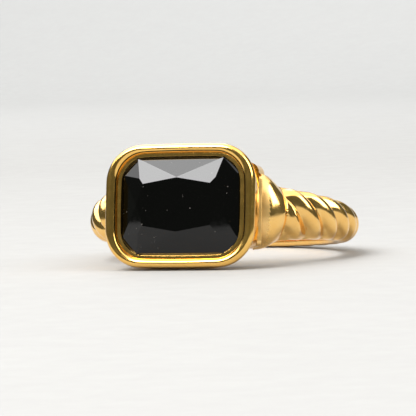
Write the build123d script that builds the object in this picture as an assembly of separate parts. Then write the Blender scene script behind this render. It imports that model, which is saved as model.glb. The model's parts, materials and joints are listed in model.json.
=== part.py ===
from build123d import *
import math
import os

# Signet ring lying on its side, in mm.  The finger bore centre is the origin and
# +Z is up from the table.  The stone faces -Y.
#
# The ring is drawn upright first (bore along Z, stone toward -Y) and then tipped by
# REST_TILT, because it rests on the lower edge of the bezel and the back of the band.

# ring and finger
BORE_RADIUS = 9.05
REST_TILT = 9.5

# twisted band: a three strand rope bent round the finger, tapering toward the back,
# with a plain rounded bead at each end
BAND_START = 31.0          # degrees from the stone direction to the end of the band
BEAD_END = 44.0            # degrees to the straight groove that closes the bead
BEAD_RISE = 0.7            # extra half height of the bead where it meets the collar
FIRST_GROOVE = 50.2        # degrees to the first twisted groove, at mid height
LOBE_PITCH = 12.2          # degrees between neighbouring grooves
STRANDS = 3
CORE_RADIUS = 9.6          # radius of the rope centre line
BAND_MIDDLE = -0.22        # the band sits a little below the middle of the bezel
GROOVE_DEPTH = 0.28        # share of the section lost at the bottom of a groove
INNER_REACH = 1.0          # the flanks run straight this far inward; the bore cuts them off
FLANK_DRAFT = 0.3          # share of the height the flanks lose on that way
BACK_OUTER_RADIUS = 11.04
BACK_HALF_HEIGHT = 1.12

# shoulder collars: thin plates that close the band ends
COLLAR_START = 29.0
COLLAR_RADIUS = 12.05
COLLAR_TOP = 2.6
COLLAR_BOTTOM = -3.08
COLLAR_ROUNDING = 0.45

# head block between the bore and the bezel
HEAD_TOP = 3.45
HEAD_BOTTOM = -2.85
HEAD_HALF_WIDTH = 6.1
HEAD_EAR_DEPTH = 9.5
HEAD_ROUNDING = 0.8

# bezel, measured as distance from the bore axis toward the stone
BEZEL_BACK = 11.0
BEZEL_FLOOR = 11.3
BEZEL_SHOULDER = 12.1
BEZEL_CREST = 12.6
BEZEL_HALF_WIDTH = 6.17
BEZEL_HALF_HEIGHT = 4.92
BEZEL_CORNER = 3.0
BEZEL_BACK_CORNER = 4.2    # the corners are cut away more toward the back
RIM_INSET = 0.36           # wall face to crest
RIM_LAND = 0.04            # flat left on the crest
GROOVE_HALF_WIDTH = 5.28   # inside of the rim, where the lip starts
GROOVE_HALF_HEIGHT = 4.25
GROOVE_LEVEL = 12.25
RIM_STEPS = 5

# inner lip that holds the stone
LIP_TOP = 12.14
LIP_HALF_WIDTH = 4.93
LIP_HALF_HEIGHT = 3.95
SEAT_HALF_WIDTH = 4.75
SEAT_HALF_HEIGHT = 3.75
SEAT_LEVEL = 11.7

# stone: 10 x 8 mm, cut corners, sixteen crown facets round a flat table
STONE_HALF_WIDTH = 5.0
STONE_HALF_HEIGHT = 4.0
STONE_BASE = 11.42
GIRDLE_LOW = 11.86
GIRDLE_HIGH = 11.98
CROWN_LEVEL = 12.2
TABLE_LEVEL = 13.2
CROWN_HALF_WIDTH = 4.72
CROWN_HALF_HEIGHT = 3.77
CORNER_CUT = 1.17
CORNER_SLOPE = 1.1026
TABLE_CORNER = (2.77, 1.66)
TABLE_MID_TOP = 2.14
TABLE_MID_SIDE = 3.30

# local frame of the head: x across the finger, y along the bore, z out toward the stone
HEAD_FRAME = Plane(origin=(0, 0, 0), x_dir=(1, 0, 0), z_dir=(0, -1, 0))


def cushion(half_width, half_height, corner, bow=0.12):
    """Rounded rectangle with slightly bowed sides."""
    x = half_width - bow
    y = half_height - bow
    sides = [
        ThreePointArc((-x, y), (0, half_height), (x, y)),
        ThreePointArc((x, y), (half_width, 0), (x, -y)),
        ThreePointArc((x, -y), (0, -half_height), (-x, -y)),
        ThreePointArc((-x, -y), (-half_width, 0), (-x, y)),
    ]
    blank = make_face(sides)
    return fillet(blank.vertices(), corner)


def stacked(levels):
    """Solid through a stack of (outline, level) pairs."""
    return loft([Pos(0, 0, level) * outline for outline, level in levels], ruled=True)


def prism(outline, low, high):
    """Straight solid between two levels."""
    return Pos(0, 0, low) * extrude(outline, amount=high - low)


def bezel_cup():
    """Outer wall with its floor and the rounded rim round the stone."""
    def wall(inset):
        return cushion(
            BEZEL_HALF_WIDTH - inset,
            BEZEL_HALF_HEIGHT - inset,
            BEZEL_CORNER - inset,
        )

    back = cushion(BEZEL_HALF_WIDTH, BEZEL_HALF_HEIGHT, BEZEL_BACK_CORNER)
    outside = [(back, BEZEL_BACK), (wall(0), BEZEL_SHOULDER)]
    rise = BEZEL_CREST - BEZEL_SHOULDER
    for step in range(1, RIM_STEPS + 1):
        turn = math.radians(90 * step / RIM_STEPS)
        inset = RIM_INSET * (1 - math.cos(turn))
        outside.append((wall(inset), BEZEL_SHOULDER + rise * math.sin(turn)))

    top_inset = RIM_INSET + RIM_LAND
    top_width = BEZEL_HALF_WIDTH - top_inset
    top_height = BEZEL_HALF_HEIGHT - top_inset
    drop = BEZEL_CREST - GROOVE_LEVEL
    groove = cushion(GROOVE_HALF_WIDTH, GROOVE_HALF_HEIGHT, 2.35)
    inside = [(groove, BEZEL_FLOOR), (groove, GROOVE_LEVEL)]
    for step in range(RIM_STEPS - 1, -1, -1):
        turn = math.radians(90 * step / RIM_STEPS)
        share = math.sin(turn)
        width = top_width + (GROOVE_HALF_WIDTH - top_width) * share
        height = top_height + (GROOVE_HALF_HEIGHT - top_height) * share
        corner = 2.6 + (2.35 - 2.6) * share
        inside.append((cushion(width, height, corner), BEZEL_CREST - drop * (1 - math.cos(turn))))
    return stacked(outside) - stacked(inside)


def octagon(half_width, half_height, cut):
    """Rectangle with its four corners cut straight."""
    drop = cut * CORNER_SLOPE
    corner = [
        (half_width - cut, half_height),
        (half_width, half_height - drop),
    ]
    points = list(corner)
    points += [(x, -y) for x, y in reversed(corner)]
    points += [(-x, -y) for x, y in corner]
    points += [(-x, y) for x, y in reversed(corner)]
    return make_face(Polyline(*points, close=True))


def facet_planes():
    """Crown facets of one quarter of the stone, as three points each."""
    first = Vector(CROWN_HALF_WIDTH - CORNER_CUT, CROWN_HALF_HEIGHT, CROWN_LEVEL)
    second = Vector(CROWN_HALF_WIDTH, CROWN_HALF_HEIGHT - CORNER_CUT * CORNER_SLOPE, CROWN_LEVEL)
    table = Vector(*TABLE_CORNER, TABLE_LEVEL)
    top = Vector(0, TABLE_MID_TOP, TABLE_LEVEL)
    side = Vector(TABLE_MID_SIDE, 0, TABLE_LEVEL)
    upper_normal = (top - first).cross(table - first)
    lower_normal = (table - second).cross(side - second)
    # the two quads meet along a line through the table corner
    ridge = upper_normal.cross(lower_normal)
    ridge = ridge * (0.38 / ridge.X)
    star = table + ridge
    return [
        (first, top, Vector(-first.X, first.Y, first.Z)),
        (first, top, table),
        (second, table, side),
        (second, side, Vector(second.X, -second.Y, second.Z)),
        (first, second, star),
    ]


def faceted_stone():
    """Black stone: flat base, thin girdle, steep bevel and the faceted crown."""
    girdle = octagon(STONE_HALF_WIDTH, STONE_HALF_HEIGHT, 1.2)
    lower = stacked([
        (octagon(4.55, 3.55, 1.08), STONE_BASE),
        (girdle, GIRDLE_LOW),
        (girdle, GIRDLE_HIGH),
        (octagon(CROWN_HALF_WIDTH, CROWN_HALF_HEIGHT, CORNER_CUT), CROWN_LEVEL),
    ])
    crown = prism(octagon(CROWN_HALF_WIDTH, CROWN_HALF_HEIGHT, CORNER_CUT), CROWN_LEVEL, TABLE_LEVEL)
    for flip_x in (1, -1):
        for flip_y in (1, -1):
            for corners in facet_planes():
                a, b, c = [Vector(p.X * flip_x, p.Y * flip_y, p.Z) for p in corners]
                normal = (b - a).cross(c - a)
                if normal.Z < 0:
                    normal = normal * -1
                crown = split(crown, bisect_by=Plane(origin=a, z_dir=normal), keep=Keep.BOTTOM)
    return lower + crown


def bezel_lip(stone):
    """Inner ring: seat under the stone and lip round its girdle."""
    body = stacked([
        (cushion(GROOVE_HALF_WIDTH, GROOVE_HALF_HEIGHT, 2.35), BEZEL_FLOOR),
        (cushion(GROOVE_HALF_WIDTH, GROOVE_HALF_HEIGHT, 2.35), LIP_TOP - 0.06),
        (cushion(GROOVE_HALF_WIDTH - 0.06, GROOVE_HALF_HEIGHT - 0.06, 2.3), LIP_TOP),
    ])
    seat = prism(cushion(SEAT_HALF_WIDTH, SEAT_HALF_HEIGHT, 1.9), BEZEL_FLOOR, SEAT_LEVEL)
    opening = prism(cushion(LIP_HALF_WIDTH, LIP_HALF_HEIGHT, 2.0), GIRDLE_HIGH, LIP_TOP)
    return body - seat - opening - stone


def stone_cement(stone):
    """Bed of clear cement between the stone and the floor of the cup."""
    bed = prism(cushion(SEAT_HALF_WIDTH, SEAT_HALF_HEIGHT, 1.9), BEZEL_FLOOR, SEAT_LEVEL)
    return bed - stone


def head_block():
    """Block under the bezel, hollowed by the bore, with small ears above the collars."""
    middle = (HEAD_TOP + HEAD_BOTTOM) / 2
    height = HEAD_TOP - HEAD_BOTTOM
    outline = Pos(0, middle) * RectangleRounded(2 * HEAD_HALF_WIDTH, height, HEAD_ROUNDING)
    core = HEAD_FRAME.location * prism(outline, 6.0, BEZEL_BACK)
    reach = 18.0
    across = reach * math.sin(math.radians(COLLAR_START))
    ahead = -reach * math.cos(math.radians(COLLAR_START))
    wedge = make_face(Polyline((0, 0), (across, ahead), (-across, ahead), close=True))
    core = core & (Pos(0, 0, -10) * extrude(wedge, amount=20))
    ears = HEAD_FRAME.location * prism(outline, HEAD_EAR_DEPTH, BEZEL_BACK)
    level = (COLLAR_TOP + COLLAR_BOTTOM) / 2
    ears = ears - Pos(0, 0, level) * Box(40, 40, COLLAR_TOP - COLLAR_BOTTOM)
    return core + ears - Cylinder(BORE_RADIUS, 20)


def collar(side):
    """Thin plate between the head and one end of the band; side is 1 for +X, -1 for -X."""
    thickness = BAND_START - COLLAR_START
    depth = COLLAR_RADIUS - BORE_RADIUS
    level = (COLLAR_TOP + COLLAR_BOTTOM) / 2
    plate = Pos(BORE_RADIUS + depth / 2, level) * Rectangle(depth, COLLAR_TOP - COLLAR_BOTTOM)
    outer_corners = plate.vertices().sort_by(Axis.X)[-2:]
    plate = fillet(outer_corners, COLLAR_ROUNDING)
    section = Plane.XZ.location * plate
    swept = revolve(section, axis=Axis.Z, revolution_arc=thickness)
    start = COLLAR_START if side > 0 else -BAND_START
    return Rot(0, 0, start - 90) * swept


def bead_share(angle):
    """1 on the bead at the end of the band, falling to 0 on the rope."""
    return 1 / (1 + math.exp((angle - 39) / 1.8))


def half_height(angle):
    """Half height of the band at an angle from the stone direction, in degrees."""
    taper = 1.33 * math.exp(-(angle - 30) / 60)
    return BACK_HALF_HEIGHT + taper + BEAD_RISE * bead_share(angle)


def outer_radius(angle):
    """Outer radius of the lobes at an angle from the stone direction, in degrees."""
    return BACK_OUTER_RADIUS + 0.58 * math.exp(-(angle - 30) / 20)


def crease(share):
    """Rounded V: 0 to 1 becomes a lobe that meets its neighbour in a narrow groove."""
    return math.sqrt(share ** 2 + 0.04) / math.sqrt(1.04)


def smooth_step(share):
    """0 up to 1 with level ends."""
    share = max(0, min(1, share))
    return share * share * (3 - 2 * share)


def lobe_share(around, turn):
    """1 on the crest of a lobe or bead and near 0 in a groove, angles in degrees."""
    past_bead = min(around, 360 - around) - BEAD_END
    # straight groove between the bead and the rope, as wide on both sides
    shoulder = crease(math.sin(math.pi / 2 * min(1, abs(past_bead) / 7)))
    groove_turn = -(around - FIRST_GROOVE) * 360 / STRANDS / LOBE_PITCH
    twist = crease(math.sin(math.radians((turn - groove_turn) * STRANDS / 2)))
    # the twist starts just past the bead's groove
    return shoulder * (1 - smooth_step(past_bead / 3) * (1 - twist))


def rope_point(around, turn):
    """Point on the rope: around the finger, then round the rope section, in degrees."""
    from_stone = min(around, 360 - around)
    # grooves fade out on the way to the flanks, which are smooth
    depth = GROOVE_DEPTH * smooth_step((112 - abs(turn)) / 60)
    scale = 1 - depth * (1 - lobe_share(around, turn))
    along = math.cos(math.radians(turn))
    up = math.sin(math.radians(turn))
    if along > 0:
        reach = (outer_radius(from_stone) - CORE_RADIUS) * along
    else:
        inward = abs(turn) / 90 - 1
        reach = -INNER_REACH * inward
        up = math.copysign(1 - FLANK_DRAFT * inward ** 2, up)
    radius = CORE_RADIUS + reach * scale
    level = half_height(from_stone) * scale * up
    place = math.radians(around)
    middle = BAND_MIDDLE * (1 - 0.5 * bead_share(from_stone))
    return (radius * math.sin(place), -radius * math.cos(place), middle + level)


def twisted_band():
    """Three strand rope from one collar round the back to the other, open at the stone."""
    steps_around = 192
    steps_across = 40
    grid = []
    for i in range(steps_around + 1):
        around = BAND_START + (360 - 2 * BAND_START) * i / steps_around
        row = [rope_point(around, -150 + 300 * j / steps_across) for j in range(steps_across + 1)]
        grid.append(row)
    outside = Face.make_surface_from_array_of_points(grid, tol=0.01, min_deg=3, max_deg=5)
    edges = outside.edges()
    long_edges = edges.sort_by(lambda e: e.length)[-2:]
    short_edges = edges.sort_by(lambda e: e.length)[:2]
    inside = Face.make_surface_from_curves(long_edges[0], long_edges[1])
    caps = []
    for edge in short_edges:
        chord = Edge.make_line(edge.position_at(0), edge.position_at(1))
        caps.append(Face(Wire([edge, chord])))
    rope = Solid(Shell([outside, inside, *caps]))
    return rope - Cylinder(BORE_RADIUS, 20)


def build_nodes():
    stone = faceted_stone()
    head = HEAD_FRAME.location
    nodes = {
        "twisted_band": twisted_band(),
        "collar_right": collar(1),
        "collar_left": collar(-1),
        "head_block": head_block(),
        "bezel_cup": head * bezel_cup(),
        "bezel_lip": head * bezel_lip(stone),
        "stone_cement": head * stone_cement(stone),
        "stone": head * stone,
    }
    return {name: Rot(-REST_TILT, 0, 0) * shape for name, shape in nodes.items()}


os.makedirs("parts", exist_ok=True)
for name, shape in build_nodes().items():
    export_step(shape, "parts/" + name + ".step")
    print(name, round(shape.volume, 3), shape.is_valid, shape.bounding_box().size)
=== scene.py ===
import json
import math

import bmesh
import bpy
from mathutils import Matrix, Vector


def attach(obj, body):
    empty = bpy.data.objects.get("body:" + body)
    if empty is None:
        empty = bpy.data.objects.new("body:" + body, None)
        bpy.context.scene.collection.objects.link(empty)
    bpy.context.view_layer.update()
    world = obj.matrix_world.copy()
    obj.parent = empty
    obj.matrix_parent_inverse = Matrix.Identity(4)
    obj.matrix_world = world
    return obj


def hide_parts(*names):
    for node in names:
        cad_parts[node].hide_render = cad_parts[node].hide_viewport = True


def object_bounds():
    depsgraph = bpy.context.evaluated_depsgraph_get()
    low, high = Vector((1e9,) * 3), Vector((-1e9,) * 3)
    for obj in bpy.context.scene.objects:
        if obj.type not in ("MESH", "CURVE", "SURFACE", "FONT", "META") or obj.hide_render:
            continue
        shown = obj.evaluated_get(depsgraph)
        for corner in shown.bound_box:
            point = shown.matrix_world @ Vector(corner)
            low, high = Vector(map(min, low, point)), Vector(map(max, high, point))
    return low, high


# Signet ring lying on its side on a pale table.  Shapes are drawn in mm with the
# bore upright, then scaled to metres and tipped like the bore axis of the frame.

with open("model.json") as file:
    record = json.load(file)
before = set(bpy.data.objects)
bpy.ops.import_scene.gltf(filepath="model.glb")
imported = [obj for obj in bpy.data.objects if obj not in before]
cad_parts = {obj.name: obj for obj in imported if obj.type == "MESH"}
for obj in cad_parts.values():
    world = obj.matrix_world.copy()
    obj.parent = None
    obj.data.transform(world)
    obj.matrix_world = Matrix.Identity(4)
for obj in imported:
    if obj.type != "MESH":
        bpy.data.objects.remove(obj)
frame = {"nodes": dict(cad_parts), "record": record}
cad_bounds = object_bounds()

MM = 0.001
mount = frame["record"]["mounts"][0]
bore_axis = Vector(mount["axis"])
BORE_RADIUS = mount["dims"]["r_mm"]
UPRIGHT = Matrix.Rotation(-math.atan2(bore_axis.y, bore_axis.z), 4, "X") @ Matrix.Scale(MM, 4)
# head frame: x across the finger, y up along the bore, z out toward the stone
HEAD = UPRIGHT @ Matrix(((1, 0, 0, 0), (0, 0, -1, 0), (0, 1, 0, 0), (0, 0, 0, 1)))

# twisted band: a three strand rope round the finger, with a plain bead at each end
BAND_START = 31.0          # degrees from the stone direction
BEAD_END = 44.0            # degrees to the straight groove that closes the bead
FIRST_GROOVE = 50.2        # degrees to the first twisted groove, at mid height
LOBE_PITCH = 12.2          # degrees between neighbouring grooves
STRANDS = 3
CORE_RADIUS = 9.6
BAND_MIDDLE = -0.22
BACK_OUTER_RADIUS = 11.04
BACK_HALF_HEIGHT = 1.12
TAPER_START = 30.0         # degrees from the stone direction
RADIUS_TAPER = (0.58, 20)  # extra at the taper's start in mm, and how fast it fades
HEIGHT_TAPER = (1.33, 60)
BEAD_RISE = 0.7            # extra half height of the bead
BEAD_FADE = (39, 1.8)      # degrees at which half of it is gone, and how fast it goes
BEAD_GROOVE_REACH = 8.0    # degrees from the bead's groove to full height beside it
COLLAR_ROLL = 0.3          # share of the groove depth the bead loses at the collar
COLLAR_ROLL_REACH = 6.0
TWIST_REACH = 0.8          # degrees past the bead's groove over which the twist sets in
ROUGH_END = 35.0           # degrees to the end of the casting skin
BORE_POLISH = 0.3          # the skin stops this far from the bore
GROOVE_DEPTH = 0.36        # share of the section lost at the bottom of a groove
GROOVE_ROUNDING = 0.006
GROOVE_END = 112.0         # degrees round the rope to where the grooves have faded out
GROOVE_FADE = 60.0
TURN_LIMIT = 175.0         # the bore cuts every helix line before this turn
INNER_REACH = 1.0          # the flanks run straight this far inward
FLANK_DRAFT = 0.3          # share of the height they lose on that way
EDGE_WEAR = 0.2            # rounding at the bore

# collars at the ends of the band
COLLAR_START = 29.0
COLLAR_RADIUS = 12.05
COLLAR_TOP = 2.6
COLLAR_BOTTOM = -3.08
COLLAR_ROUNDING = 0.45
COLLAR_EDGE = 0.07

# bezel, as distance from the bore axis toward the stone
BEZEL_BACK = 11.0
BEZEL_SHOULDER = 12.1
BEZEL_CREST = 12.6
BEZEL_HALF_WIDTH = 6.17
BEZEL_HALF_HEIGHT = 4.92
BEZEL_CORNER = 3.0
BEZEL_BACK_CORNER = 4.2
BEZEL_BACK_EDGE = 0.12
SIDE_BOW = 0.12            # how far each side of the cushion bows out
RIM_INSET = 0.36           # wall face to crest
RIM_LAND = 0.04            # flat left on the crest
GROOVE_LEVEL = 12.2
GROOVE_BOTTOM = 11.6
LIP_BOTTOM = 11.5
LIP_TOP = 12.14
LIP_CLEARANCE = 0.01
LIP_OUTER_EDGE = 0.03
LIP_INNER_EDGE = 0.012
# half width, half height and corner radius
GROOVE_SIZE = (5.28, 4.25, 2.35)
LIP_SIZE = (4.93, 3.95, 2.0)

# stone
STONE_BASE = 11.42
GIRDLE_LOW = 11.86
GIRDLE_HIGH = 11.98
CROWN_LEVEL = 12.2
TABLE_LEVEL = 13.2
# half width, half height and corner cut
CROWN_SIZE = (4.72, 3.77, 1.17)
GIRDLE_SIZE = (5.0, 4.0, 1.2)
BASE_SIZE = (4.55, 3.55, 1.08)
CORNER_SLOPE = 1.1026
TABLE_CORNER = (2.77, 1.66)
TABLE_MID_TOP = 2.14
TABLE_MID_SIDE = 3.30
STAR_STEP = 0.38           # across the finger, from the table corner to the star facet
STONE_BLOCK = 6            # half size of the block the stone is cut from
STONE_EDGE = 0.015

# table top and the backdrop it curves up into, in metres
FLOOR_FRONT = -0.12
FLOOR_BACK = 0.5
BACKDROP_BEND = 0.25
BACKDROP_TOP = 0.6
FLOOR_LEFT = (-0.10, -0.44)    # beside the ring, and at the backdrop
FLOOR_RIGHT = (0.08, 0.23)
WIDENING_START = 0.02
WIDENING_LENGTH = 0.4

# camera as seen from the ring: azimuth and elevation in degrees, distance in metres
CAMERA_PLACE = (17.0, 3.8, 0.240)
CAMERA_ROLL = -1.9
CAMERA_LENS = 251.3
CAMERA_SHIFT = (-0.0409, 0.0288)


# ---------------------------------------------------------------- mesh helpers

def add_piece(name, points, faces, matrix, nodes, material):
    """Smooth mesh object from points in mm, standing for the CAD nodes it replaces."""
    mesh = bpy.data.meshes.new(name)
    mesh.from_pydata([matrix @ Vector(p) for p in points], [], faces)
    return finish_piece(mesh, name, nodes, material)


def finish_piece(mesh, name, nodes, material, smooth=True):
    """Cleans the mesh, closes any open end, and ties it to the frame."""
    work = bmesh.new()
    work.from_mesh(mesh)
    bmesh.ops.remove_doubles(work, verts=work.verts, dist=1e-8)
    bmesh.ops.dissolve_degenerate(work, edges=work.edges, dist=1e-9)
    open_edges = [edge for edge in work.edges if edge.is_boundary]
    if open_edges:
        bmesh.ops.holes_fill(work, edges=open_edges)
    bmesh.ops.recalc_face_normals(work, faces=work.faces)
    work.to_mesh(mesh)
    work.free()
    piece = bpy.data.objects.new(name, mesh)
    bpy.context.scene.collection.objects.link(piece)
    mesh.materials.append(material)
    mesh.polygons.foreach_set("use_smooth", [smooth] * len(mesh.polygons))
    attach(piece, "root")
    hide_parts(*nodes)
    return piece


def loft_faces(rows, count):
    """Quads between neighbouring closed rings."""
    faces = []
    for row in range(rows - 1):
        for step in range(count):
            after = (step + 1) % count
            low = row * count
            high = low + count
            faces.append((low + step, low + after, high + after, high + step))
    return faces


def add_bevel(piece, width_mm, segments, angle):
    """Worn edges wherever two faces meet at more than angle, in degrees."""
    bevel = piece.modifiers.new("edge wear", "BEVEL")
    bevel.width = width_mm * MM
    bevel.segments = segments
    bevel.limit_method = "ANGLE"
    bevel.angle_limit = math.radians(angle)
    bevel.harden_normals = False


# ---------------------------------------------------------------- bezel

def cushion(half_width, half_height, corner, side_steps=10, corner_steps=18):
    """Closed outline of a rounded rectangle with slightly bowed sides."""
    x = half_width - SIDE_BOW
    y = half_height - SIDE_BOW
    top_radius = (x * x + SIDE_BOW * SIDE_BOW) / (2 * SIDE_BOW)
    side_radius = (y * y + SIDE_BOW * SIDE_BOW) / (2 * SIDE_BOW)
    top_centre = half_height - top_radius
    side_centre = half_width - side_radius
    # centre of the corner arc, tangent to both side arcs
    cx = half_width - corner
    cy = half_height - corner
    for _ in range(30):
        cy = top_centre + math.sqrt((top_radius - corner) ** 2 - cx * cx)
        cx = side_centre + math.sqrt((side_radius - corner) ** 2 - cy * cy)
    top_turn = math.atan2(cx, cy - top_centre)
    side_turn = math.atan2(cy, cx - side_centre)

    quarter = []
    for i in range(side_steps):
        turn = top_turn * i / side_steps
        quarter.append((top_radius * math.sin(turn), top_centre + top_radius * math.cos(turn)))
    for i in range(corner_steps):
        turn = top_turn + (math.pi / 2 - side_turn - top_turn) * i / corner_steps
        quarter.append((cx + corner * math.sin(turn), cy + corner * math.cos(turn)))
    for i in range(side_steps + 1):
        turn = side_turn * (1 - i / side_steps)
        quarter.append((side_centre + side_radius * math.cos(turn), side_radius * math.sin(turn)))

    outline = list(quarter)
    outline += [(px, -py) for px, py in reversed(quarter[:-1])]
    outline += [(-px, -py) for px, py in quarter[1:]]
    outline += [(-px, py) for px, py in reversed(quarter[1:-1])]
    return outline


def cushion_loft(sections):
    """Points and faces of a stack of (half width, half height, corner, level)."""
    points = []
    count = 0
    for half_width, half_height, corner, level in sections:
        outline = cushion(half_width, half_height, corner)
        count = len(outline)
        points += [(px, py, level) for px, py in outline]
    return points, loft_faces(len(sections), count)


def wall(inset, level):
    """Outer wall section; the corners are cut away more toward the back."""
    depth = max(0, (BEZEL_SHOULDER - level) / (BEZEL_SHOULDER - BEZEL_BACK))
    corner = BEZEL_CORNER + (BEZEL_BACK_CORNER - BEZEL_CORNER) * depth
    return (BEZEL_HALF_WIDTH - inset, BEZEL_HALF_HEIGHT - inset, corner - inset, level)


def rim_sections():
    """Outer wall, rounded crest and the inner slope down to the groove."""
    sections = [wall(BEZEL_BACK_EDGE, BEZEL_BACK)]
    for i in range(1, 5):
        turn = math.radians(90 * i / 4)
        inset = BEZEL_BACK_EDGE * (1 - math.sin(turn))
        sections.append(wall(inset, BEZEL_BACK + BEZEL_BACK_EDGE * (1 - math.cos(turn))))
    steps = 14
    for i in range(steps + 1):
        turn = math.radians(90 * i / steps)
        inset = RIM_INSET * (1 - math.cos(turn))
        rise = (BEZEL_CREST - BEZEL_SHOULDER) * math.sin(turn)
        sections.append(wall(inset, BEZEL_SHOULDER + rise))
    top = wall(RIM_INSET + RIM_LAND, BEZEL_CREST)
    for i in range(steps + 1):
        turn = math.radians(90 * i / steps)
        share = math.sin(turn)
        size = [a + (b - a) * share for a, b in zip(top[:3], GROOVE_SIZE)]
        drop = (BEZEL_CREST - GROOVE_LEVEL) * (1 - math.cos(turn))
        sections.append((*size, BEZEL_CREST - drop))
    sections.append((*GROOVE_SIZE, GROOVE_BOTTOM))
    return sections


def lip_sections():
    """Ring between the groove and the stone."""
    wide, high, corner = GROOVE_SIZE
    edge = LIP_OUTER_EDGE
    sections = [(wide - LIP_CLEARANCE, high - LIP_CLEARANCE, corner, LIP_BOTTOM)]
    for i in range(5):
        turn = math.radians(90 * i / 4)
        inset = LIP_CLEARANCE + edge * (1 - math.cos(turn))
        level = LIP_TOP - edge + edge * math.sin(turn)
        sections.append((wide - inset, high - inset, corner - inset, level))
    wide, high, corner = LIP_SIZE
    edge = LIP_INNER_EDGE
    for i in range(5):
        turn = math.radians(90 * i / 4)
        inset = -edge * (1 - math.sin(turn))
        level = LIP_TOP - edge * (1 - math.cos(turn))
        sections.append((wide - inset, high - inset, corner - inset, level))
    sections.append((wide, high, corner, GIRDLE_HIGH))
    return sections


# ---------------------------------------------------------------- stone

def octagon(half_width, half_height, cut):
    """One quarter of a cut-corner rectangle: its two corner points."""
    return (half_width - cut, half_height), (half_width, half_height - cut * CORNER_SLOPE)


def side_planes(low_size, low_level, high_size, high_level):
    """Three planes of one quarter between two cut-corner rectangles."""
    low_a, low_b = octagon(*low_size)
    high_a, high_b = octagon(*high_size)
    return [
        ((*low_a, low_level), (0, low_a[1], low_level), (*high_a, high_level)),
        ((*low_a, low_level), (*low_b, low_level), (*high_a, high_level)),
        ((*low_b, low_level), (low_b[0], 0, low_level), (*high_b, high_level)),
    ]


def crown_planes():
    """Crown facets of one quarter, as three points each."""
    a, b = octagon(*CROWN_SIZE)
    first = Vector((*a, CROWN_LEVEL))
    second = Vector((*b, CROWN_LEVEL))
    table = Vector((*TABLE_CORNER, TABLE_LEVEL))
    top = Vector((0, TABLE_MID_TOP, TABLE_LEVEL))
    side = Vector((TABLE_MID_SIDE, 0, TABLE_LEVEL))
    upper_normal = (top - first).cross(table - first)
    lower_normal = (table - second).cross(side - second)
    ridge = upper_normal.cross(lower_normal)
    star = table + ridge * (STAR_STEP / ridge.x)
    return [
        (first, top, Vector((-first.x, first.y, first.z))),
        (first, top, table),
        (second, table, side),
        (second, side, Vector((second.x, -second.y, second.z))),
        (first, second, star),
    ]


def cut_facet(work, point, normal):
    """Cuts away what lies beyond a plane and closes the cut."""
    bmesh.ops.bisect_plane(
        work,
        geom=work.verts[:] + work.edges[:] + work.faces[:],
        dist=1e-5,
        plane_co=point,
        plane_no=normal,
        clear_outer=True,
    )
    rim = [edge for edge in work.edges if edge.is_boundary]
    if rim:
        bmesh.ops.holes_fill(work, edges=rim)


def faceted_stone(material):
    """Stone cut from a block by its facet planes."""
    quarter = crown_planes()
    quarter += side_planes(GIRDLE_SIZE, GIRDLE_HIGH, CROWN_SIZE, CROWN_LEVEL)
    quarter += side_planes(GIRDLE_SIZE, GIRDLE_LOW, GIRDLE_SIZE, GIRDLE_HIGH)
    quarter += side_planes(BASE_SIZE, STONE_BASE, GIRDLE_SIZE, GIRDLE_LOW)
    work = bmesh.new()
    bmesh.ops.create_cube(work, size=2)
    for vert in work.verts:
        vert.co.x *= STONE_BLOCK
        vert.co.y *= STONE_BLOCK
        vert.co.z = STONE_BASE if vert.co.z < 0 else TABLE_LEVEL
    middle = Vector((0, 0, (GIRDLE_LOW + GIRDLE_HIGH) / 2))
    for flip_x in (1, -1):
        for flip_y in (1, -1):
            for corners in quarter:
                a, b, c = [Vector((p[0] * flip_x, p[1] * flip_y, p[2])) for p in corners]
                normal = (b - a).cross(c - a).normalized()
                if normal.dot(middle - a) > 0:
                    normal = -normal
                cut_facet(work, a, normal)
    bmesh.ops.remove_doubles(work, verts=work.verts, dist=1e-4)
    bmesh.ops.transform(work, matrix=HEAD, verts=work.verts)
    mesh = bpy.data.meshes.new("stone_facets")
    work.to_mesh(mesh)
    work.free()
    piece = finish_piece(mesh, "faceted_stone", ["stone"], material, smooth=False)
    add_bevel(piece, STONE_EDGE, segments=2, angle=4)
    return piece


# ---------------------------------------------------------------- band

def bead_share(angle):
    """1 on the bead at the end of the band, falling to 0 on the rope."""
    middle, rate = BEAD_FADE
    return 1 / (1 + math.exp((angle - middle) / rate))


def half_height(angle):
    """Half height of the band at an angle from the stone direction, in degrees."""
    extra, fade = HEIGHT_TAPER
    taper = extra * math.exp(-(angle - TAPER_START) / fade)
    return BACK_HALF_HEIGHT + taper + BEAD_RISE * bead_share(angle)


def outer_radius(angle):
    """Outer radius of the lobes at an angle from the stone direction, in degrees."""
    extra, fade = RADIUS_TAPER
    return BACK_OUTER_RADIUS + extra * math.exp(-(angle - TAPER_START) / fade)


def crease(share):
    """Rounded V: 0 to 1 becomes a lobe that meets its neighbour in a narrow groove."""
    return math.sqrt(share ** 2 + GROOVE_ROUNDING) / math.sqrt(1 + GROOVE_ROUNDING)


def smooth_step(share):
    """0 up to 1 with level ends."""
    share = max(0, min(1, share))
    return share * share * (3 - 2 * share)


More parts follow.
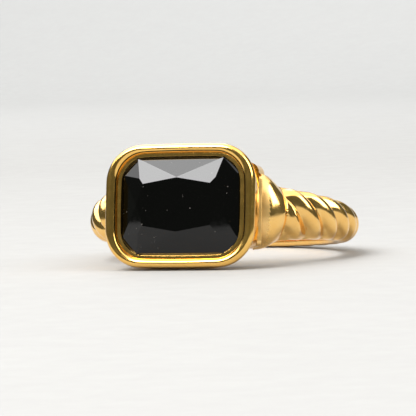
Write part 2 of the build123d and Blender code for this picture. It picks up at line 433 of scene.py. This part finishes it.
def lobe_share(around, turn):
    """1 on the crest of a lobe or bead and near 0 in a groove, angles in degrees."""
    from_stone = min(around, 360 - around)
    past_bead = from_stone - BEAD_END
    # straight groove between the bead, which is full and round, and the rope
    reach = min(1, abs(past_bead) / BEAD_GROOVE_REACH)
    if past_bead < 0:
        shoulder = crease(math.sqrt(1 - (1 - reach) ** 2))
    else:
        shoulder = crease(math.sin(math.pi / 2 * reach))
    # the bead also rolls over a little toward the collar
    past_collar = max(0, min(1, (from_stone - BAND_START) / COLLAR_ROLL_REACH))
    shoulder -= COLLAR_ROLL * (1 - math.sin(math.pi / 2 * past_collar))
    groove_turn = -(around - FIRST_GROOVE) * 360 / STRANDS / LOBE_PITCH
    twist = crease(math.sin(math.radians((turn - groove_turn) * STRANDS / 2)))
    # the twist starts just past the bead's groove
    return min(shoulder, 1 - smooth_step(past_bead / TWIST_REACH) * (1 - twist))


def rope_section(column, turn):
    """(angle round the finger, radius, height) on the rope.

    column is the place of this helix line at mid height; turn is the angle round
    the rope section.  Both are in degrees.
    """
    around = column - turn * LOBE_PITCH * STRANDS / 360
    around = min(max(around, BAND_START), 360 - BAND_START)
    from_stone = min(around, 360 - around)
    # grooves fade out on the way to the flanks, which are smooth
    depth = GROOVE_DEPTH * smooth_step((GROOVE_END - abs(turn)) / GROOVE_FADE)
    scale = 1 - depth * (1 - lobe_share(around, turn))
    along = math.cos(math.radians(turn))
    up = math.sin(math.radians(turn))
    if along > 0:
        reach = (outer_radius(from_stone) - CORE_RADIUS) * along
    else:
        inward = abs(turn) / 90 - 1
        reach = -INNER_REACH * inward
        up = math.copysign(1 - FLANK_DRAFT * inward ** 2, up)
    radius = CORE_RADIUS + reach * scale
    height = half_height(from_stone) * scale * up
    # the edge at the bore is worn round
    worn = max(0, min(1, 1 - (radius - BORE_RADIUS) / EDGE_WEAR))
    height -= math.copysign(EDGE_WEAR * (1 - math.sqrt(1 - worn * worn)), up)
    middle = BAND_MIDDLE * (1 - 0.5 * bead_share(from_stone))
    return around, radius, middle + height


def turn_at_bore(column, side):
    """Turn at which a helix line meets the bore, above (1) or below (-1)."""
    near, far = 90.0, TURN_LIMIT
    for _ in range(40):
        middle = (near + far) / 2
        if rope_section(column, side * middle)[1] > BORE_RADIUS:
            near = middle
        else:
            far = middle
    return side * near


def band_columns():
    """Helix lines, closer together beside each groove."""
    per_lobe = 24
    spread = TURN_LIMIT * LOBE_PITCH * STRANDS / 360
    first = math.floor((BAND_START - spread - FIRST_GROOVE) / LOBE_PITCH)
    last = math.ceil((360 - BAND_START + spread - FIRST_GROOVE) / LOBE_PITCH)
    columns = []
    for lobe in range(first, last):
        for i in range(per_lobe):
            share = (1 - math.cos(math.pi * i / per_lobe)) / 2
            columns.append(FIRST_GROOVE + LOBE_PITCH * (lobe + share))
    return columns


def band_column(column, limit=120.0, steps=108, edge_steps=6, inside_steps=8):
    """Ring of points round the rope along one helix line, bore side included."""
    low = turn_at_bore(column, -1)
    high = turn_at_bore(column, 1)
    turns = [low + (-limit - low) * i / edge_steps for i in range(edge_steps)]
    turns += [-limit + 2 * limit * i / steps for i in range(steps)]
    turns += [limit + (high - limit) * i / edge_steps for i in range(edge_steps + 1)]
    ring = [rope_section(column, turn) for turn in turns]
    first, last = ring[0], ring[-1]
    for i in range(1, inside_steps):
        share = i / inside_steps
        around = last[0] + (first[0] - last[0]) * share
        height = last[2] + (first[2] - last[2]) * share
        ring.append((around, BORE_RADIUS, height))
    return ring


def twisted_band(material, rough_material):
    """Rope from one collar round the back to the other, with a bead at each end."""
    points = []
    count = 0
    columns = band_columns()
    for column in columns:
        ring = band_column(column)
        count = len(ring)
        for around, radius, height in ring:
            place = math.radians(around)
            points.append((radius * math.sin(place), -radius * math.cos(place), height))
    faces = loft_faces(len(columns), count)
    piece = add_piece(
        "rope_band", points, faces, UPRIGHT, ["twisted_band"], material
    )
    # the casting skin is left on the side of each bead that meets its collar
    piece.data.materials.append(rough_material)
    upright = UPRIGHT.inverted()
    for face in piece.data.polygons:
        middle = upright @ face.center
        around = math.degrees(math.atan2(abs(middle.x), -middle.y))
        if around < ROUGH_END and middle.xy.length > BORE_RADIUS + BORE_POLISH:
            face.material_index = 1
    return piece


def collar(side, material):
    """Thin plate between the head and one end of the band."""
    rounding = COLLAR_ROUNDING
    steps = 8
    thick = BAND_START - COLLAR_START
    outline = [(BORE_RADIUS, COLLAR_BOTTOM)]
    for i in range(steps + 1):
        turn = math.radians(90 * i / steps)
        radius = COLLAR_RADIUS - rounding + rounding * math.sin(turn)
        outline.append((radius, COLLAR_BOTTOM + rounding - rounding * math.cos(turn)))
    for i in range(steps + 1):
        turn = math.radians(90 * i / steps)
        radius = COLLAR_RADIUS - rounding + rounding * math.cos(turn)
        outline.append((radius, COLLAR_TOP - rounding + rounding * math.sin(turn)))
    outline.append((BORE_RADIUS, COLLAR_TOP))
    points = []
    rows = 5
    for row in range(rows):
        place = math.radians(side * (COLLAR_START + thick * row / (rows - 1)))
        for radius, height in outline:
            points.append((radius * math.sin(place), -radius * math.cos(place), height))
    faces = loft_faces(rows, len(outline))
    name = "collar_plate_right" if side > 0 else "collar_plate_left"
    node = "collar_right" if side > 0 else "collar_left"
    piece = add_piece(name, points, faces, UPRIGHT, [node], material)
    add_bevel(piece, COLLAR_EDGE, segments=3, angle=50)
    return piece


# ---------------------------------------------------------------- materials

class Shader:
    """Small helper that adds and links shader nodes."""

    def __init__(self, name):
        self.material = bpy.data.materials.new(name)
        self.material.use_nodes = True
        self.tree = self.material.node_tree
        self.surface = self.tree.nodes["Principled BSDF"]
        self.place = self.add("ShaderNodeTexCoord").outputs["Object"]

    def add(self, kind, **inputs):
        """New node with its inputs set or linked."""
        node = self.tree.nodes.new(kind)
        for key, value in inputs.items():
            self.set(node, key.replace("_", " "), value)
        return node

    def set(self, node, key, value):
        """Links the input if value is a socket, else sets it."""
        socket = node.inputs[key]
        if isinstance(value, bpy.types.NodeSocket):
            self.tree.links.new(value, socket)
        else:
            socket.default_value = value

    def noise(self, size_mm, detail=3.0):
        """Noise whose features are about size_mm across, from 0 to 1."""
        scale = 1 / (size_mm * MM)
        node = self.add("ShaderNodeTexNoise", Vector=self.place, Scale=scale, Detail=detail)
        return node.outputs["Fac"]

    def spread(self, value, low, high):
        """Noise from 0.3 to 0.7 stretched to run from low to high."""
        node = self.add("ShaderNodeMapRange", Value=value)
        node.inputs["From Min"].default_value = 0.3
        node.inputs["From Max"].default_value = 0.7
        node.inputs["To Min"].default_value = low
        node.inputs["To Max"].default_value = high
        return node.outputs["Result"]

    def ramp(self, value, stops):
        """Colour from a value, by stops of (place, colour)."""
        node = self.add("ShaderNodeValToRGB", Fac=value)
        band = node.color_ramp
        band.elements[0].position, band.elements[1].position = stops[0][0], stops[-1][0]
        band.elements[0].color = (*stops[0][1], 1)
        band.elements[1].color = (*stops[-1][1], 1)
        for place, colour in stops[1:-1]:
            band.elements.new(place).color = (*colour, 1)
        return node.outputs["Color"]

    def bump(self, height, depth_mm, under=None):
        """Relief of the given depth, on top of another one if under is given."""
        node = self.add("ShaderNodeBump", Height=height, Strength=1.0, Distance=depth_mm * MM)
        if under is not None:
            self.set(node, "Normal", under)
        return node.outputs["Normal"]


def gold(name, light, dark, smooth, worn, grain_mm, grain_depth):
    """Yellow gold finish with fine grain, soft dents and uneven polish."""
    shader = Shader(name)
    colour = shader.ramp(shader.noise(0.9, 4.0), [(0.3, dark), (0.7, light)])
    shader.set(shader.surface, "Base Color", colour)
    shader.set(shader.surface, "Metallic", 1.0)
    shader.set(shader.surface, "Coat Weight", 0.3)
    shader.set(shader.surface, "Coat IOR", 1.6)
    shader.set(shader.surface, "Coat Roughness", 0.06)
    shader.set(shader.surface, "Roughness", shader.spread(shader.noise(0.5, 5.0), smooth, worn))
    dents = shader.bump(shader.noise(0.8, 2.0), 0.006)
    grain = shader.bump(shader.noise(grain_mm, 3.0), grain_depth, under=dents)
    shader.set(shader.surface, "Normal", grain)
    return shader.material


def black_stone():
    """Polished black stone with a few specks of dust."""
    shader = Shader("black_stone_polish")
    black = (0.0002, 0.0002, 0.0002)
    soft_black = (0.0006, 0.0006, 0.0006)
    dust = (0.12, 0.11, 0.10)
    stops = [(0.3, black), (0.765, soft_black), (0.80, dust)]
    colour = shader.ramp(shader.noise(0.22, 1.0), stops)
    shader.set(shader.surface, "Base Color", colour)
    shader.set(shader.surface, "Roughness", shader.spread(shader.noise(0.3, 4.0), 0.02, 0.05))
    shader.set(shader.surface, "IOR", 1.54)
    shader.set(shader.surface, "Specular IOR Level", 0.4)
    shader.set(shader.surface, "Normal", shader.bump(shader.noise(1.5, 2.0), 0.0008))
    return shader.material


def cement():
    """Dull dark bed between the stone and the floor of the cup."""
    shader = Shader("cement_clear")
    stops = [(0.3, (0.03, 0.025, 0.02)), (0.7, (0.06, 0.05, 0.04))]
    colour = shader.ramp(shader.noise(0.2, 3.0), stops)
    shader.set(shader.surface, "Base Color", colour)
    shader.set(shader.surface, "Roughness", shader.spread(shader.noise(0.2), 0.25, 0.4))
    return shader.material


def table_top():
    """Matt pale table with faint mottling and fine grain."""
    shader = Shader("white_table")
    stops = [(0.3, (0.333, 0.328, 0.320)), (0.7, (0.339, 0.334, 0.326))]
    colour = shader.ramp(shader.noise(6.0, 5.0), stops)
    shader.set(shader.surface, "Base Color", colour)
    shader.set(shader.surface, "Roughness", shader.spread(shader.noise(2.0, 4.0), 0.7, 0.85))
    shader.set(shader.surface, "Specular IOR Level", 0.15)
    shader.set(shader.surface, "Normal", shader.bump(shader.noise(0.4, 3.0), 0.002))
    return shader.material


def finish_node(node, material):
    """Material on a CAD solid that is shown as it is."""
    held = frame["nodes"][node]
    held.data.materials.clear()
    held.data.materials.append(material)


# ---------------------------------------------------------------- stage, light, camera

def add_floor(material):
    """Table top that curves up into a seamless backdrop."""
    level = cad_bounds[0].z
    profile = [(y, 0.0) for y in (FLOOR_FRONT, -0.06, 0.0, 0.06, 0.15, 0.3, FLOOR_BACK)]
    for i in range(1, 17):
        turn = math.radians(90 * i / 16)
        y = FLOOR_BACK + BACKDROP_BEND * math.sin(turn)
        profile.append((y, BACKDROP_BEND * (1 - math.cos(turn))))
    profile.append((FLOOR_BACK + BACKDROP_BEND, BACKDROP_TOP))
    points = []
    across = 21
    for y, z in profile:
        # the table is narrow round the ring and wider toward the backdrop
        share = smooth_step((y - WIDENING_START) / WIDENING_LENGTH)
        left = FLOOR_LEFT[0] + (FLOOR_LEFT[1] - FLOOR_LEFT[0]) * share
        right = FLOOR_RIGHT[0] + (FLOOR_RIGHT[1] - FLOOR_RIGHT[0]) * share
        points += [(left + (right - left) * i / (across - 1), y, level + z) for i in range(across)]
    faces = []
    for row in range(len(profile) - 1):
        for i in range(across - 1):
            a = row * across + i
            faces.append((a, a + 1, a + 1 + across, a + across))
    mesh = bpy.data.meshes.new("seamless_table")
    mesh.from_pydata(points, [], faces)
    mesh.polygons.foreach_set("use_smooth", [True] * len(mesh.polygons))
    mesh.materials.append(material)
    table = bpy.data.objects.new("seamless_table", mesh)
    bpy.context.scene.collection.objects.link(table)


def from_ring(azimuth, elevation, distance):
    """Place seen from the ring; azimuth 0 is the stone side and 90 is +X, in degrees."""
    turn = math.radians(azimuth)
    rise = math.radians(elevation)
    return Vector((
        distance * math.sin(turn) * math.cos(rise),
        -distance * math.cos(turn) * math.cos(rise),
        distance * math.sin(rise),
    ))


def look_from(place, aim, roll=0.0):
    """Matrix of a camera or lamp at place that looks at aim."""
    turn = (aim - place).to_track_quat("-Z", "Y").to_matrix().to_4x4()
    return Matrix.Translation(place) @ turn @ Matrix.Rotation(math.radians(roll), 4, "Z")


def add_lamp(name, place, aim, width, height, energy, colour=(1, 1, 1)):
    """Even rectangular light at place that shines toward aim."""
    light = bpy.data.lights.new(name, "AREA")
    light.shape = "RECTANGLE"
    light.size = width
    light.size_y = height
    light.energy = energy
    light.color = colour
    lamp = bpy.data.objects.new(name, light)
    lamp.matrix_world = look_from(place, aim)
    lamp.visible_camera = False
    bpy.context.scene.collection.objects.link(lamp)


def add_softbox(name, azimuth, elevation, distance, width, height, radiance):
    """Softbox that shines on the ring, with the same brightness at any size."""
    place = from_ring(azimuth, elevation, distance)
    energy = radiance * width * height * math.pi
    add_lamp(name, place, Vector((0, 0, 0)), width, height, energy)


def add_backdrop_light():
    """Cool soft light over the ring that faces the curved backdrop."""
    place = Vector((-0.15, 0.2, 0.7))
    aim = Vector((-0.2, 0.75, 0.66))
    add_lamp("backdrop_softbox", place, aim, 0.8, 0.2, 10.0, colour=(0.92, 0.96, 1.0))


def add_world():
    """Dim even light from the room."""
    world = bpy.data.worlds.new("dim_room")
    world.use_nodes = True
    back = world.node_tree.nodes["Background"]
    back.inputs["Color"].default_value = (0.94, 1.0, 0.86, 1)
    back.inputs["Strength"].default_value = 0.11
    bpy.context.scene.world = world


def add_camera():
    """Long lens, a little to the right of the stone and just above the table."""
    camera = bpy.data.cameras.new("camera")
    camera.sensor_width = 36.0
    camera.lens = CAMERA_LENS
    camera.shift_x, camera.shift_y = CAMERA_SHIFT
    camera.clip_start = 0.01
    camera.clip_end = 10.0
    viewer = bpy.data.objects.new("camera", camera)
    place = from_ring(*CAMERA_PLACE)
    viewer.matrix_world = look_from(place, Vector((0, 0, 0)), CAMERA_ROLL)
    bpy.context.scene.collection.objects.link(viewer)
    bpy.context.scene.camera = viewer


# ---------------------------------------------------------------- build

# name, light and dark colour, roughness from and to, grain size and depth in mm
gold_bright = gold("gold_polish", (1.0, 0.62, 0.16), (0.96, 0.56, 0.13), 0.12, 0.2, 0.05, 0.001)
gold_band = gold("gold_band", (1.0, 0.64, 0.21), (0.96, 0.57, 0.16), 0.12, 0.22, 0.06, 0.0015)
gold_rough = gold("gold_cast", (1.0, 0.66, 0.25), (0.92, 0.56, 0.18), 0.34, 0.46, 0.09, 0.008)
stone_finish = black_stone()
cement_finish = cement()

points, faces = cushion_loft(rim_sections())
add_piece("bezel_rim", points, faces, HEAD, ["bezel_cup"], gold_bright)
points, faces = cushion_loft(lip_sections())
add_piece("stone_lip", points, faces, HEAD, ["bezel_lip"], gold_bright)
faceted_stone(stone_finish)
twisted_band(gold_band, gold_rough)
collar(1, gold_rough)
collar(-1, gold_rough)
finish_node("head_block", gold_bright)
finish_node("stone_cement", cement_finish)

add_floor(table_top())
# name, azimuth and elevation in degrees, distance, width and height in metres, radiance
add_softbox("key_softbox", -34, 50, 0.6, 0.32, 0.42, 12.0)
add_softbox("key_top_softbox", -62, 72, 0.62, 0.20, 0.16, 5.5)
add_softbox("right_softbox", 84, 38, 0.6, 0.36, 0.46, 5.0)
add_softbox("left_softbox", -96, 42, 0.7, 0.60, 0.40, 3.0)
add_softbox("left_back_softbox", -145, 44, 0.7, 0.50, 0.36, 2.6)
add_softbox("back_softbox", 180, 54, 0.8, 0.80, 0.36, 1.0)
add_softbox("top_softbox", 0, 89, 0.9, 1.0, 1.0, 1.6)
add_backdrop_light()
add_world()
add_camera()
bpy.context.scene.view_settings.view_transform = "Standard"
